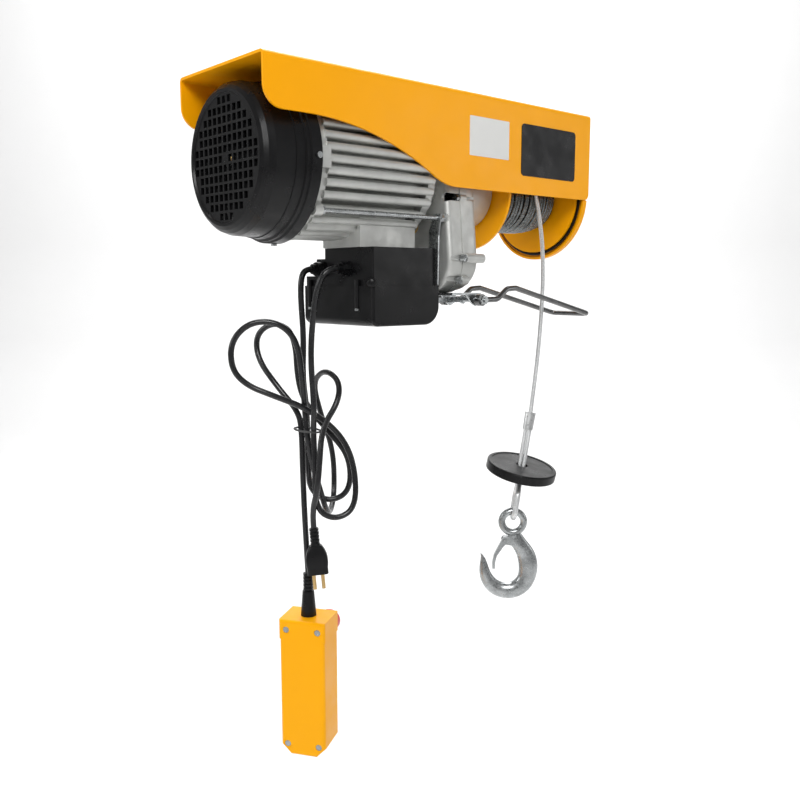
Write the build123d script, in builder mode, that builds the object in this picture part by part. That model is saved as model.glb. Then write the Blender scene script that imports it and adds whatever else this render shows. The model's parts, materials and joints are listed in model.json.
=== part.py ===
"""Electric wire rope hoist: a motor, gear case and rope drum hung inside an inverted channel.

Millimetres. The origin is the centre of the four mounting holes on the channel's top face.
+X runs from the motor's fan to the drum's outer end, +Z is up, and -Y is the side that carries
the rating plate and the rope.
"""
import os
from math import acos, atan2, cos, degrees, hypot, pi, radians, sin, sqrt, tan

from build123d import *

os.makedirs("parts", exist_ok=True)

# ---------------------------------------------------------------- driving dimensions
# channel frame
FRAME_LENGTH = 510.0
FRAME_WIDTH = 166.0
SHEET = 3.0
SKIRT_DEEP = 110.0
SKIRT_SHALLOW = 53.0
SHALLOW_END_X = -205.0
HOLE_SPACING_X = 170.0
HOLE_SPACING_Y = 90.0
MOUNT_HOLE_R = 6.25

# shaft lines, all parallel to X
MOTOR_Z = -92.7
DRUM_Z = -105.0

# motor
COVER_FRONT_X = -252.0
COVER_REAR_X = -188.0
COVER_FLANGE_R = 85.5
HOUSING_LEFT_X = -186.0
HOUSING_RIGHT_X = -25.0
FIN_REACH = 80.0
FIN_PITCH = 12.0
FIN_THICK = 8.4
CORE_R = 64.0
BORE_R = 55.0
SHAFT_R = 8.5

# gears: 25 degree stub teeth
PRESSURE_ANGLE = radians(25.0)
ADDENDUM = 0.8
DEDENDUM = 1.05
TOOTH_THINNING = 0.12
FIRST_MODULE = 2.0
PINION_TEETH = 10
FIRST_GEAR_TEETH = 50
SECOND_MODULE = 1.5
LAYSHAFT_TEETH = 11
OUTPUT_TEETH = 53

# gear case
CASE_LEFT_X = 2.0
CASE_SEAM_X = 28.0
CASE_RIGHT_X = 56.0
CASE_WALL = 4.0
CASE_CIRCLES = [(0.0, -96.0, 68.0), (-12.0, -152.0, 58.5), (-38.0, -193.0, 39.0)]   # y, z, radius
BOSS_R = 45.0
BOSS_END_X = 106.0

# drum and rope
DRUM_LEFT_X = 109.0
DRUM_RIGHT_X = 245.0
DRUM_FLANGE_R = 72.0
DRUM_FLANGE_T = 3.5
DRUM_BARREL_R = 30.0
ROPE_D = 5.2
ROPE_LINE_R = 51.0
ROPE_Y = -ROPE_LINE_R
END_PLATE_R = 82.0

# electrical box
BOX_LEFT_X = -103.0
BOX_TOP_Z = -180.0
BOX_SEAM_Z = -223.5
BOX_BOTTOM_Z = -269.0
BOX_FRONT_Y = -61.0
BOX_BACK_Y = 67.0

# cords
CORD_D = 7.0


def save(piece, name, place=Plane.XY):
    """Label a finished piece, set it in its place and write it as its own STEP file."""
    part = piece.part.moved(place.location)
    part.label = name
    export_step(part, f"parts/{name}.step")


def across(x, y=0.0, z=0.0):
    """Plane square to X at x, its sketch axes along +Y and +Z, with its origin at y, z."""
    return Plane(origin=(x, y, z), x_dir=(0, 1, 0), z_dir=(1, 0, 0))


def along(z, y=0.0):
    """Plane that holds a shaft line: sketch x is X, sketch y is height above the line."""
    return Plane(origin=(0, y, z), x_dir=(1, 0, 0), z_dir=(0, -1, 0))


def line_axis(z, y=0.0):
    """Axis of a shaft line."""
    return Axis((0, y, z), (1, 0, 0))


def turned(profile, z, y=0.0):
    """Solid of revolution about a shaft line; profile is a list of (x, radius) points."""
    with BuildPart(mode=Mode.PRIVATE) as body:
        with BuildSketch(along(z, y)):
            with BuildLine():
                Polyline(*profile, close=True)
            make_face()
        revolve(axis=line_axis(z, y))
    return body.part


# ---------------------------------------------------------------- frame
def skirt_outline():
    """Closed outline of the channel's side: shallow over the motor, deep over the drum."""
    half = FRAME_LENGTH / 2
    drop = SKIRT_DEEP - SKIRT_SHALLOW
    sweep_angle = 30.0
    fall = 1 - cos(radians(sweep_angle))
    crest_r = 350.0
    valley_r = drop / fall - crest_r
    nose_r = 22.0
    corner_r = 8.0
    crest = JernArc((SHALLOW_END_X, -SKIRT_SHALLOW), (1, 0), crest_r, -sweep_angle)
    valley = JernArc(crest @ 1, crest % 1, valley_r, sweep_angle)
    foot = Line(valley @ 1, (half - corner_r, -SKIRT_DEEP))
    corner = JernArc(foot @ 1, (1, 0), corner_r, 90)
    right = Line(corner @ 1, (half, 0))
    top = Line((half, 0), (-half, 0))
    left = Line((-half, 0), (-half, nose_r - SKIRT_SHALLOW))
    nose = JernArc(left @ 1, (0, -1), nose_r, 90)
    Line(nose @ 1, crest @ 0)


with BuildPart() as frame:
    with BuildSketch(Plane.XZ.offset(FRAME_WIDTH / 2)):
        with BuildLine():
            skirt_outline()
        make_face()
    extrude(amount=-FRAME_WIDTH)
    with BuildSketch(Plane.YZ.offset(-FRAME_LENGTH)):
        with Locations((0, -SHEET - SKIRT_DEEP)):
            Rectangle(FRAME_WIDTH - 2 * SHEET, 2 * SKIRT_DEEP)
    extrude(amount=2 * FRAME_LENGTH, mode=Mode.SUBTRACT)
    long_edges = frame.edges().filter_by(Axis.X).filter_by(lambda e: e.length > FRAME_LENGTH - 1)
    fillet(long_edges.group_by(Axis.Z)[-1], 5.0)
    inner_edges = frame.edges().filter_by(Axis.X).filter_by(
        lambda e: e.length > FRAME_LENGTH - 1 and abs(e.center().Z + SHEET) < 0.01
    )
    fillet(inner_edges, 2.0)
    with Locations((0, 0, -SHEET / 2)):
        with GridLocations(HOLE_SPACING_X, HOLE_SPACING_Y, 2, 2):
            Cylinder(MOUNT_HOLE_R, 2 * SHEET, mode=Mode.SUBTRACT)
save(frame, "frame")

INNER_HALF = FRAME_WIDTH / 2 - SHEET
PLATE_X = CASE_RIGHT_X + 1.0
PLATE_T = 4.0
with BuildPart() as cross_plate:
    with BuildSketch(across(PLATE_X)):
        with Locations((0, -SHEET)):
            Rectangle(2 * INNER_HALF, 103.0, align=(Align.CENTER, Align.MAX))
        with Locations((0, DRUM_Z)):
            Circle(BOSS_R + 1.0, mode=Mode.SUBTRACT)
        with Locations((-60, -70), (60, -70), (-42, -32), (42, -32)):
            Circle(3.3, mode=Mode.SUBTRACT)
    extrude(amount=PLATE_T)
    corners = cross_plate.edges().filter_by(Axis.X).filter_by(
        lambda e: abs(abs(e.center().Y) - INNER_HALF) < 0.1 and e.center().Z > -10
    )
    chamfer(corners, 3.0)
save(cross_plate, "cross_plate")

# drum end cap: a dished plate with a turned rim, welded between the skirts
CAP_FACE_X = 250.0
CAP_T = 3.0
CAP_RIM = 4.0
with BuildPart() as end_plate:
    with BuildSketch(across(CAP_FACE_X)):
        with Locations((0, DRUM_Z)):
            Circle(END_PLATE_R)
        with Locations((0, -SHEET)):
            Rectangle(2 * INNER_HALF, -DRUM_Z - SHEET, align=(Align.CENTER, Align.MAX))
        with GridLocations(2 * INNER_HALF + 20, 1, 2, 1):
            Rectangle(20, 2 * SKIRT_DEEP + 1, mode=Mode.SUBTRACT)
    extrude(amount=CAP_T)
    chamfer(end_plate.edges().filter_by(Axis.X).group_by(Axis.Z)[-1], 3.0)
    with BuildSketch(across(CAP_FACE_X)):
        with Locations((0, DRUM_Z)):
            Circle(END_PLATE_R)
            Circle(END_PLATE_R - CAP_T, mode=Mode.SUBTRACT)
        Rectangle(400, 2 * SKIRT_DEEP + 1, mode=Mode.SUBTRACT)
    extrude(amount=-CAP_RIM)
    with BuildSketch(across(CAP_FACE_X + CAP_T)):
        with Locations((0, DRUM_Z)):
            Circle(20)
    extrude(amount=-CAP_T - 3)
    with BuildSketch(across(CAP_FACE_X + CAP_T + 1)):
        with Locations((0, DRUM_Z)):
            Circle(12.0)
    extrude(amount=-20, mode=Mode.SUBTRACT)
save(end_plate, "end_plate")


# ---------------------------------------------------------------- blank plates on the front skirt
def skirt_plate(left, right, top, bottom, thickness, corner):
    """Thin plate with rounded corners on the outside of the front skirt."""
    with BuildPart(mode=Mode.PRIVATE) as plate:
        with BuildSketch(Plane.XZ.offset(FRAME_WIDTH / 2)):
            with Locations(((left + right) / 2, (top + bottom) / 2)):
                RectangleRounded(right - left, top - bottom, corner)
        extrude(amount=thickness)
    return plate.part


with BuildPart() as notice_plate:
    add(skirt_plate(25.5, 93.5, -27.0, -72.0, 0.4, 1.0))
save(notice_plate, "notice_plate")

with BuildPart() as rating_plate:
    add(skirt_plate(116.5, 223.0, -25.5, -88.0, 0.6, 5.0))
save(rating_plate, "rating_plate")


# ---------------------------------------------------------------- motor: fan cover, fan, screws
GRILLE_R = 65.0
GRILLE_PITCH = 9.8
GRILLE_HOLE = (6.8, 7.2)
GRILLE_COUNT = 13
COVER_WALL = 2.4

with BuildPart() as fan_cover:
    with BuildSketch(along(MOTOR_Z)):
        with BuildLine():
            front = COVER_FRONT_X
            Polyline(
                (front + 2, 0), (front + 2, GRILLE_R), (front, GRILLE_R + 1), (front, GRILLE_R + 4),
                (front + 2.4, 72.6), (front + 6.5, 76), (front + 14, 78.2), (-216, 79.2), (-215.5, 80.2),
                (-206, 81), (-205, 83), (-201, 83.2), (-200, 85), (COVER_REAR_X, COVER_FLANGE_R),
                (COVER_REAR_X, COVER_FLANGE_R - COVER_WALL), (-200, 82.4), (-204, 80.2),
                (-216, 76.8), (front + 15, 75.8), (front + 8.4, 73.6), (front + 5.4, 70.6),
                (front + 4.6, GRILLE_R), (front + 4.6, 0), close=True,
            )
        make_face()
    revolve(axis=line_axis(MOTOR_Z))
    with BuildSketch(across(COVER_FRONT_X, 0, MOTOR_Z)):
        span = (GRILLE_COUNT - 1) / 2
        with Locations(*[
            (GRILLE_PITCH * (i - span), GRILLE_PITCH * (j - span))
            for i in range(GRILLE_COUNT) for j in range(GRILLE_COUNT)
            if hypot(GRILLE_PITCH * abs(i - span) + 3.7, GRILLE_PITCH * abs(j - span) + 3.9) < GRILLE_R - 0.4
            and (i, j) != (span, span)
        ]):
            Rectangle(*GRILLE_HOLE)
    extrude(amount=6, mode=Mode.SUBTRACT)
    with Locations(*[
        Location((-192.5, 0, MOTOR_Z), (turn, 0, 0)) * Location((0, 0, COVER_FLANGE_R - 2))
        for turn in range(0, 360, 90)
    ]):
        Cylinder(2.0, 12, mode=Mode.SUBTRACT)
save(fan_cover, "fan_cover")

with BuildPart() as fan:
    add(turned([(-243, SHAFT_R + 0.02), (-243, 15), (-226, 22), (-224, 58), (-221.5, 58),
                (-221.5, SHAFT_R + 0.02)], MOTOR_Z))
    with BuildSketch(across(-243, 0, MOTOR_Z)):
        with PolarLocations(0, 8):
            with Locations((35, 0)):
                Rectangle(44, 2.5)
    extrude(amount=20)
save(fan, "fan")

with BuildPart() as fan_cover_screws:
    for turn in range(0, 360, 90):
        seat = Plane(Location((-192.5, 0, MOTOR_Z), (turn, 0, 0)) * Location((0, 0, 85.6)))
        with BuildSketch(seat):
            Circle(3.2)
        extrude(amount=1.8)
        with BuildSketch(seat):
            Circle(1.7)
        extrude(amount=-9.5)
save(fan_cover_screws, "fan_cover_screws")

# ---------------------------------------------------------------- motor: finned housing
ROD_OFFSET_Y = 64.0
ROD_OFFSET_Z = 52.0
ROD_R = 2.5


def rod_corners():
    """The four tie-rod positions around the motor's axis, as (y, z)."""
    return [(y, MOTOR_Z + z) for y in (-ROD_OFFSET_Y, ROD_OFFSET_Y) for z in (-ROD_OFFSET_Z, ROD_OFFSET_Z)]


def lug_slots(radius):
    """Two crossed slots, about the motor's axis, whose round ends are the tie-rod lugs."""
    reach = 2 * hypot(ROD_OFFSET_Y, ROD_OFFSET_Z)
    tilt = degrees(atan2(ROD_OFFSET_Z, ROD_OFFSET_Y))
    SlotCenterToCenter(reach, 2 * radius, rotation=tilt)
    SlotCenterToCenter(reach, 2 * radius, rotation=-tilt)


PEDESTAL = (-110.0, -28.0, -47.0, 22.0)   # left, right, front, back
FINS_LEFT_X = -176.0
with BuildPart() as motor_housing:
    with BuildSketch(across(HOUSING_LEFT_X, 0, MOTOR_Z)):
        Circle(CORE_R)
    extrude(amount=HOUSING_RIGHT_X - HOUSING_LEFT_X)
    # end band that carries the fan cover, with one flat pad to each side
    with BuildSketch(across(HOUSING_LEFT_X, 0, MOTOR_Z)):
        Circle(76)
        Rectangle(2 * 81, 22)
        Rectangle(22, 2 * 81)
    extrude(amount=12)
    with BuildSketch(across(HOUSING_LEFT_X - 10, 0, MOTOR_Z)):
        Rectangle(2 * 81.5, 12)
        Rectangle(12, 2 * 81.5)
        Circle(78, mode=Mode.SUBTRACT)
    extrude(amount=11)
    # fins in four banks: level ones front and back, upright ones above and below
    fin_count = 7
    for step, reach in ((-4, 58), (4, 58), (-5, 49), (5, 49)):
        with BuildSketch(across(FINS_LEFT_X, 0, MOTOR_Z)):
            with Locations((0, step * FIN_PITCH)):
                SlotOverall(2 * reach, FIN_THICK)
        extrude(amount=HOUSING_RIGHT_X - FINS_LEFT_X)
    for k in range(fin_count):
        offset_k = FIN_PITCH * (k - (fin_count - 1) / 2)
        reach = sqrt(FIN_REACH ** 2 - offset_k ** 2)
        with BuildSketch(across(FINS_LEFT_X, 0, MOTOR_Z)):
            with Locations((0, offset_k)):
                SlotOverall(2 * reach, FIN_THICK)
        extrude(amount=HOUSING_RIGHT_X - FINS_LEFT_X)
        with BuildSketch(across(FINS_LEFT_X, 0, MOTOR_Z)):
            with Locations((offset_k, 0)):
                SlotOverall(2 * reach, FIN_THICK, rotation=90)
        extrude(amount=HOUSING_RIGHT_X - 12 - FINS_LEFT_X)
    # right end ring
    with BuildSketch(across(HOUSING_RIGHT_X - 5, 0, MOTOR_Z)):
        Circle(74)
    extrude(amount=5)
    # pedestal for the electrical box
    with BuildSketch(Plane.XY.offset(BOX_TOP_Z)):
        with Locations(((PEDESTAL[0] + PEDESTAL[1]) / 2, (PEDESTAL[2] + PEDESTAL[3]) / 2)):
            Rectangle(PEDESTAL[1] - PEDESTAL[0], PEDESTAL[3] - PEDESTAL[2])
    extrude(amount=32)
    # lugs for the tie rods at both ends
    with BuildSketch(across(HOUSING_LEFT_X, 0, MOTOR_Z)):
        lug_slots(6)
    extrude(amount=10)
    # bore, wiring hole and rod holes
    with BuildSketch(across(HOUSING_LEFT_X - 20, 0, MOTOR_Z)):
        Circle(BORE_R)
    extrude(amount=200, mode=Mode.SUBTRACT)
    with BuildSketch(Plane.XY.offset(BOX_TOP_Z - 1)):
        with Locations((-70, 0)):
            Circle(9)
    extrude(amount=60, mode=Mode.SUBTRACT)
    with BuildSketch(across(HOUSING_LEFT_X - 12)):
        with Locations(*rod_corners()):
            Circle(ROD_R + 0.1)
    extrude(amount=200, mode=Mode.SUBTRACT)
    for turn in range(0, 360, 90):
        with BuildSketch(Plane(Location((-192.5, 0, MOTOR_Z), (turn, 0, 0)) * Location((0, 0, 70)))):
            Circle(1.72)
        extrude(amount=20, mode=Mode.SUBTRACT)
save(motor_housing, "motor_housing")

# ---------------------------------------------------------------- motor: shields, stator, rotor
BEARING_R = 20.0
RUNNING = 0.05

with BuildPart() as rear_endshield:
    add(turned([(-190, 62), (-186.1, 62), (-186.1, 54.9), (-180, 54.9), (-180, 50), (-185, 46),
                (-185, 26), (-176, 26), (-176, BEARING_R), (-188, BEARING_R), (-188, 12),
                (-190, 12)], MOTOR_Z))
save(rear_endshield, "rear_endshield")

with BuildPart() as front_endshield:
    add(turned([(-25, 74), (-20, 74), (-15, 62), (2, 55), (2, BEARING_R), (-11, BEARING_R),
                (-11, 14), (-14, 14), (-14, 48), (-21, 60), (-25, 60)], MOTOR_Z))
save(front_endshield, "front_endshield")

with BuildPart() as stator:
    add(turned([(-150, 31), (-62, 31), (-62, BORE_R - 0.1), (-150, BORE_R - 0.1)], MOTOR_Z))
save(stator, "stator")

with BuildPart() as stator_windings:
    add(turned([(-163, 36), (-150, 33), (-150, 51), (-163, 48)], MOTOR_Z))
    add(turned([(-62, 33), (-49, 36), (-49, 48), (-62, 51)], MOTOR_Z))
save(stator_windings, "stator_windings")

with BuildPart() as rotor_core:
    add(turned([(-149, SHAFT_R), (-63, SHAFT_R), (-63, 30.4), (-149, 30.4)], MOTOR_Z))
save(rotor_core, "rotor_core")

with BuildPart() as brake_disc:
    add(turned([(-173, SHAFT_R), (-165, SHAFT_R), (-165, 16), (-168.5, 16), (-168.5, 44),
                (-173, 44)], MOTOR_Z))
save(brake_disc, "brake_disc")


# ---------------------------------------------------------------- gears
def gear_sketch(module, teeth, first_tooth):
    """Involute spur outline with a tooth centred at first_tooth degrees from the sketch's x axis."""
    pitch_r = module * teeth / 2
    base_r = pitch_r * cos(PRESSURE_ANGLE)
    tip_r = pitch_r + ADDENDUM * module
    root_r = pitch_r - DEDENDUM * module
    start_r = max(base_r, root_r)
    involute_at_pitch = tan(PRESSURE_ANGLE) - PRESSURE_ANGLE

    def half_angle(radius):
        roll = acos(base_r / radius)
        thickness = pi / (2 * teeth) - TOOTH_THINNING / (2 * pitch_r)
        return degrees(thickness + involute_at_pitch - (tan(roll) - roll))

    flank = [start_r, (start_r + tip_r) / 2, tip_r]
    with BuildLine() as outline:
        points = []
        for k in range(teeth):
            middle = first_tooth + 360 * k / teeth
            rising = [(root_r, -half_angle(start_r) - 0.01)] + [(r, -half_angle(r)) for r in flank]
            falling = [(r, -a) for r, a in reversed(rising)]
            for r, a in rising + falling:
                angle = radians(middle + a)
                points.append((r * cos(angle), r * sin(angle)))
        Polyline(*points, close=True)
    return make_face(outline.line.edges(), mode=Mode.PRIVATE)


def layshaft_place():
    """Centre (y, z) of the layshaft, from the centre distances of its two gear pairs."""
    first = FIRST_MODULE * (PINION_TEETH + FIRST_GEAR_TEETH) / 2
    second = SECOND_MODULE * (LAYSHAFT_TEETH + OUTPUT_TEETH) / 2
    apart = MOTOR_Z - DRUM_Z
    below_drum = (first ** 2 - second ** 2 - apart ** 2) / (2 * apart)
    return -sqrt(second ** 2 - below_drum ** 2), DRUM_Z - below_drum


LAY_Y, LAY_Z = layshaft_place()
FIRST_LINE = degrees(atan2(LAY_Z - MOTOR_Z, LAY_Y))          # motor shaft to layshaft
SECOND_LINE = degrees(atan2(DRUM_Z - LAY_Z, -LAY_Y))         # layshaft to drum shaft
print("layshaft", round(LAY_Y, 2), round(LAY_Z, 2))
print("gear ratio", FIRST_GEAR_TEETH / PINION_TEETH * OUTPUT_TEETH / LAYSHAFT_TEETH)


def geared(x, y, z, width, module, teeth, first_tooth):
    """Toothed solid of the given width, starting at x."""
    with BuildPart(mode=Mode.PRIVATE) as wheel:
        with BuildSketch(across(x, y, z)):
            add(gear_sketch(module, teeth, first_tooth))
        extrude(amount=width)
    return wheel.part


with BuildPart() as motor_shaft:
    add(turned([(-246, 0), (10.2, 0), (10.2, SHAFT_R), (-246, SHAFT_R)], MOTOR_Z))
    add(geared(10, 0, MOTOR_Z, 16, FIRST_MODULE, PINION_TEETH, FIRST_LINE))
save(motor_shaft, "motor_shaft")

LAY_R = 7.0
with BuildPart() as first_gear:
    add(geared(12, LAY_Y, LAY_Z, 12, FIRST_MODULE, FIRST_GEAR_TEETH,
               FIRST_LINE + 180 + 180 / FIRST_GEAR_TEETH))
    with BuildSketch(across(12, LAY_Y, LAY_Z)):
        Circle(42)
        Circle(14, mode=Mode.SUBTRACT)
    extrude(amount=3, mode=Mode.SUBTRACT)
    with BuildSketch(across(11, LAY_Y, LAY_Z)):
        Circle(LAY_R)
    extrude(amount=14, mode=Mode.SUBTRACT)
save(first_gear, "first_gear")

with BuildPart() as layshaft:
    add(turned([(2.6, 0), (55.4, 0), (55.4, 6), (47, 6), (47, LAY_R), (30.5, LAY_R), (30.5, 10),
                (24, 10), (24, LAY_R), (10.5, LAY_R), (10.5, 6), (2.6, 6)], LAY_Z, LAY_Y))
    add(geared(30, LAY_Y, LAY_Z, 17, SECOND_MODULE, LAYSHAFT_TEETH, SECOND_LINE))
save(layshaft, "layshaft")

DRUM_SHAFT_R = 12.5
with BuildPart() as output_gear:
    add(geared(31, 0, DRUM_Z, 15, SECOND_MODULE, OUTPUT_TEETH,
               SECOND_LINE + 180 + 180 / OUTPUT_TEETH))
    with BuildSketch(across(30, 0, DRUM_Z)):
        Circle(DRUM_SHAFT_R)
    extrude(amount=20, mode=Mode.SUBTRACT)
save(output_gear, "output_gear")


# ---------------------------------------------------------------- gear case
def belt(first, second):
    """Flat outline of a belt round two circles, each given as (y, z, radius)."""
    (y1, z1, r1), (y2, z2, r2) = first, second
    heading = atan2(z2 - z1, y2 - y1)
    lean = acos((r1 - r2) / hypot(y2 - y1, z2 - z1))
    sides = []
    for side in (lean, -lean):
        way = (cos(heading + side), sin(heading + side))
        sides.append([(y + r * way[0], z + r * way[1]) for y, z, r in (first, second)])
    (a, b), (d, c) = sides
    with BuildSketch(mode=Mode.PRIVATE) as outline:
        with BuildLine():
            Polyline(a, b, c, d, close=True)
        make_face()
        for y, z, r in (first, second):
            with Locations((y, z)):
                Circle(r)
    return outline.sketch


def case_face(inset):
    """Outline of the gear case: the belt round its three circles, drawn in by inset."""
    top, middle, foot = [(y, z, r - inset) for y, z, r in CASE_CIRCLES]
    return belt(top, middle) + belt(middle, foot) + belt(top, foot)


def around(circle, angle, outside=2.5):
    """Point just outside one of the case's circles, at an angle from +Y."""
    y, z, r = circle
    return y + (r + outside) * cos(radians(angle)), z + (r + outside) * sin(radians(angle))


CASE_BOLTS = (
    [around(CASE_CIRCLES[0], angle) for angle in (-20, 200, 45, 135)]
    + [around(CASE_CIRCLES[1], angle) for angle in (-15, -60)]
    + [around(CASE_CIRCLES[2], angle) for angle in (177, 215)]
)
with BuildPart() as gear_case_motor_side:
    with BuildSketch(across(CASE_LEFT_X)):
        add(case_face(1.0))
    extrude(amount=CASE_SEAM_X - CASE_LEFT_X)
    fillet(gear_case_motor_side.faces().sort_by(Axis.X)[0].edges(), 6.0)
    with BuildSketch(across(CASE_SEAM_X - 5)):
        with Locations(*CASE_BOLTS):
            Circle(5.3)
    extrude(amount=-30, mode=Mode.SUBTRACT)
    with BuildSketch(across(CASE_SEAM_X - 5)):
        add(case_face(0.0))
        with Locations(*CASE_BOLTS):
            Circle(5.5)
    extrude(amount=5)
    with BuildSketch(across(CASE_LEFT_X, 0, MOTOR_Z)):
        lug_slots(7)
    extrude(amount=10)
    with BuildSketch(across(CASE_LEFT_X + CASE_WALL)):
        add(case_face(0.5 + CASE_WALL))
    extrude(amount=CASE_SEAM_X, mode=Mode.SUBTRACT)
    with BuildSketch(across(CASE_LEFT_X + CASE_WALL - 1)):
        with Locations((LAY_Y, LAY_Z)):
            Circle(13)
    extrude(amount=5)
    with BuildSketch(across(-10)):
        with Locations((LAY_Y, LAY_Z)):
            Circle(9)
    extrude(amount=30, mode=Mode.SUBTRACT)
    with BuildSketch(across(-10, 0, MOTOR_Z)):
        Circle(14)
    extrude(amount=17, mode=Mode.SUBTRACT)
    with BuildSketch(across(-10)):
        with Locations(*rod_corners()):
            Circle(ROD_R + 0.1)
        with Locations(*CASE_BOLTS):
            Circle(2.6)
    extrude(amount=50, mode=Mode.SUBTRACT)
save(gear_case_motor_side, "gear_case_motor_side")

BEARING_SEAT_R = 23.5
with BuildPart() as gear_case_drum_side:
    with BuildSketch(across(CASE_SEAM_X)):
        add(case_face(3.0))
    extrude(amount=CASE_RIGHT_X - CASE_SEAM_X)
    fillet(gear_case_drum_side.faces().sort_by(Axis.X)[-1].edges(), 12.0)
    with BuildSketch(across(CASE_SEAM_X)):
        add(case_face(0.0))
        with Locations(*CASE_BOLTS):
            Circle(5.5)
    extrude(amount=5)
    with BuildSketch(across(CASE_SEAM_X + 1)):
        with Locations(CASE_BOLTS[6]):
            Circle(5.5)
    extrude(amount=24)
    with BuildSketch(across(CASE_SEAM_X)):
        add(case_face(3.0 + CASE_WALL))
    extrude(amount=CASE_RIGHT_X - CASE_WALL - CASE_SEAM_X, mode=Mode.SUBTRACT)
    with BuildSketch(across(CASE_RIGHT_X - CASE_WALL - 4)):
        with Locations((LAY_Y, LAY_Z)):
            Circle(13)
    extrude(amount=5)
    with BuildSketch(across(CASE_RIGHT_X - 1)):
        with Locations((0, DRUM_Z)):
            Circle(BOSS_R)
    extrude(amount=BOSS_END_X - CASE_RIGHT_X + 1)
    with BuildSketch(across(CASE_RIGHT_X + 4)):
        with Locations((0, DRUM_Z)):
            Circle(BEARING_SEAT_R)
    extrude(amount=60, mode=Mode.SUBTRACT)
    with BuildSketch(across(CASE_RIGHT_X - 10)):
        with Locations((0, DRUM_Z)):
            Circle(14)
    extrude(amount=20, mode=Mode.SUBTRACT)
    with BuildSketch(across(CASE_SEAM_X)):
        with Locations((LAY_Y, LAY_Z)):
            Circle(9)
        with Locations(*CASE_BOLTS):
            Circle(2.6)
    extrude(amount=CASE_RIGHT_X - 0.5 - CASE_SEAM_X, mode=Mode.SUBTRACT)
    with BuildSketch(across(PLATE_X - 10)):
        with Locations((-60, -70), (60, -70), (-42, -32), (42, -32)):
            Circle(3.0)
    extrude(amount=40, mode=Mode.SUBTRACT)
save(gear_case_drum_side, "gear_case_drum_side")

with BuildPart() as gear_case_bolts:
    for y, z in CASE_BOLTS:
        with BuildSketch(across(CASE_SEAM_X - 5 - 4.5, y, z)):
            RegularPolygon(4.6, 6)
        extrude(amount=4.5)
        with BuildSketch(across(CASE_SEAM_X - 5, y, z)):
            Circle(2.5)
        extrude(amount=13)
save(gear_case_bolts, "gear_case_bolts")

with BuildPart() as tie_rods:
    for y, z in rod_corners():
        with BuildSketch(across(HOUSING_LEFT_X + 0.2, y, z)):
            Circle(ROD_R)
        extrude(amount=CASE_LEFT_X + 7 - HOUSING_LEFT_X)
        with BuildSketch(across(CASE_LEFT_X - 7, y, z)):
            RegularPolygon(5.2, 6)
        extrude(amount=7)
        with BuildSketch(across(HOUSING_LEFT_X + 10, y, z)):
            RegularPolygon(4.6, 6)
        extrude(amount=4)
save(tie_rods, "tie_rods")

with BuildPart() as layshaft_bushes:
    add(turned([(2.1, 6 + RUNNING), (10, 6 + RUNNING), (10, 9), (2.1, 9)], LAY_Z, LAY_Y))
    add(turned([(48, 6 + RUNNING), (55.4, 6 + RUNNING), (55.4, 9), (48, 9)], LAY_Z, LAY_Y))
save(layshaft_bushes, "layshaft_bushes")

# ---------------------------------------------------------------- drum, its shaft and bearings
STUB_R = 8.0
with BuildPart() as drum_shaft:
    add(turned([(29, 0), (CAP_FACE_X + 2, 0), (CAP_FACE_X + 2, STUB_R), (240, STUB_R),
                (240, DRUM_SHAFT_R), (29, DRUM_SHAFT_R)], DRUM_Z))
save(drum_shaft, "drum_shaft")

with BuildPart() as drum:
    left, right, plate = DRUM_LEFT_X, DRUM_RIGHT_X, DRUM_FLANGE_T
    add(turned([(left, DRUM_SHAFT_R), (left + 8, DRUM_SHAFT_R), (left + 8, DRUM_BARREL_R - 4),
                (right - 13, DRUM_BARREL_R - 4), (right - 13, DRUM_SHAFT_R), (right - 5, DRUM_SHAFT_R),
                (right - 5, 20), (right, 20), (right, DRUM_FLANGE_R), (right - plate, DRUM_FLANGE_R),
                (right - plate, DRUM_BARREL_R), (left + plate, DRUM_BARREL_R),
                (left + plate, DRUM_FLANGE_R), (left, DRUM_FLANGE_R)], DRUM_Z))
save(drum, "drum")

with BuildPart() as shaft_bearings:
    def bearing(left, width, inner, outer, z):
        """Plain ring with the running clearance on its inside."""
        add(turned([(left, inner + RUNNING), (left + width, inner + RUNNING),
                    (left + width, outer), (left, outer)], z))

    bearing(-187.5, 11.5, SHAFT_R, BEARING_R, MOTOR_Z)
    bearing(-10.5, 11.5, SHAFT_R, BEARING_R, MOTOR_Z)
    bearing(62, 14, DRUM_SHAFT_R, BEARING_SEAT_R, DRUM_Z)
    bearing(90, 14, DRUM_SHAFT_R, BEARING_SEAT_R, DRUM_Z)
    bearing(247.2, 5, STUB_R, 12.0, DRUM_Z)
save(shaft_bearings, "shaft_bearings")

with BuildPart() as rope_winding:
    left, right = DRUM_LEFT_X + DRUM_FLANGE_T, DRUM_RIGHT_X - DRUM_FLANGE_T
    crown = ROPE_LINE_R - ROPE_D / 2 - 0.15
    add(turned([(left, DRUM_BARREL_R), (right, DRUM_BARREL_R), (right, 38), (right - 12, 43),
                (right - 28, 46.5), (right - 45, crown), (left + 40, crown), (left + 15, 47.5),
                (left, 44)], DRUM_Z))
save(rope_winding, "rope_winding")

# ---------------------------------------------------------------- hanging rope and hook
LEAN = radians(13.0)
ROPE_EXIT = (184.0, ROPE_Y, DRUM_Z)
FERRULE_TOP = (182.6, ROPE_Y, -394.5)
FERRULE_LENGTH = 24.0
EYE_DOWN = 149.0          # from the top of the ferrule to the bottom of the rope's eye
HOOK_FACING = radians(43.0)
facing = Vector(sin(HOOK_FACING), cos(HOOK_FACING), 0)
rope_up = Vector(sin(LEAN), 0, cos(LEAN))
rope_side = (facing - rope_up * facing.dot(rope_up)).normalized()


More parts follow.
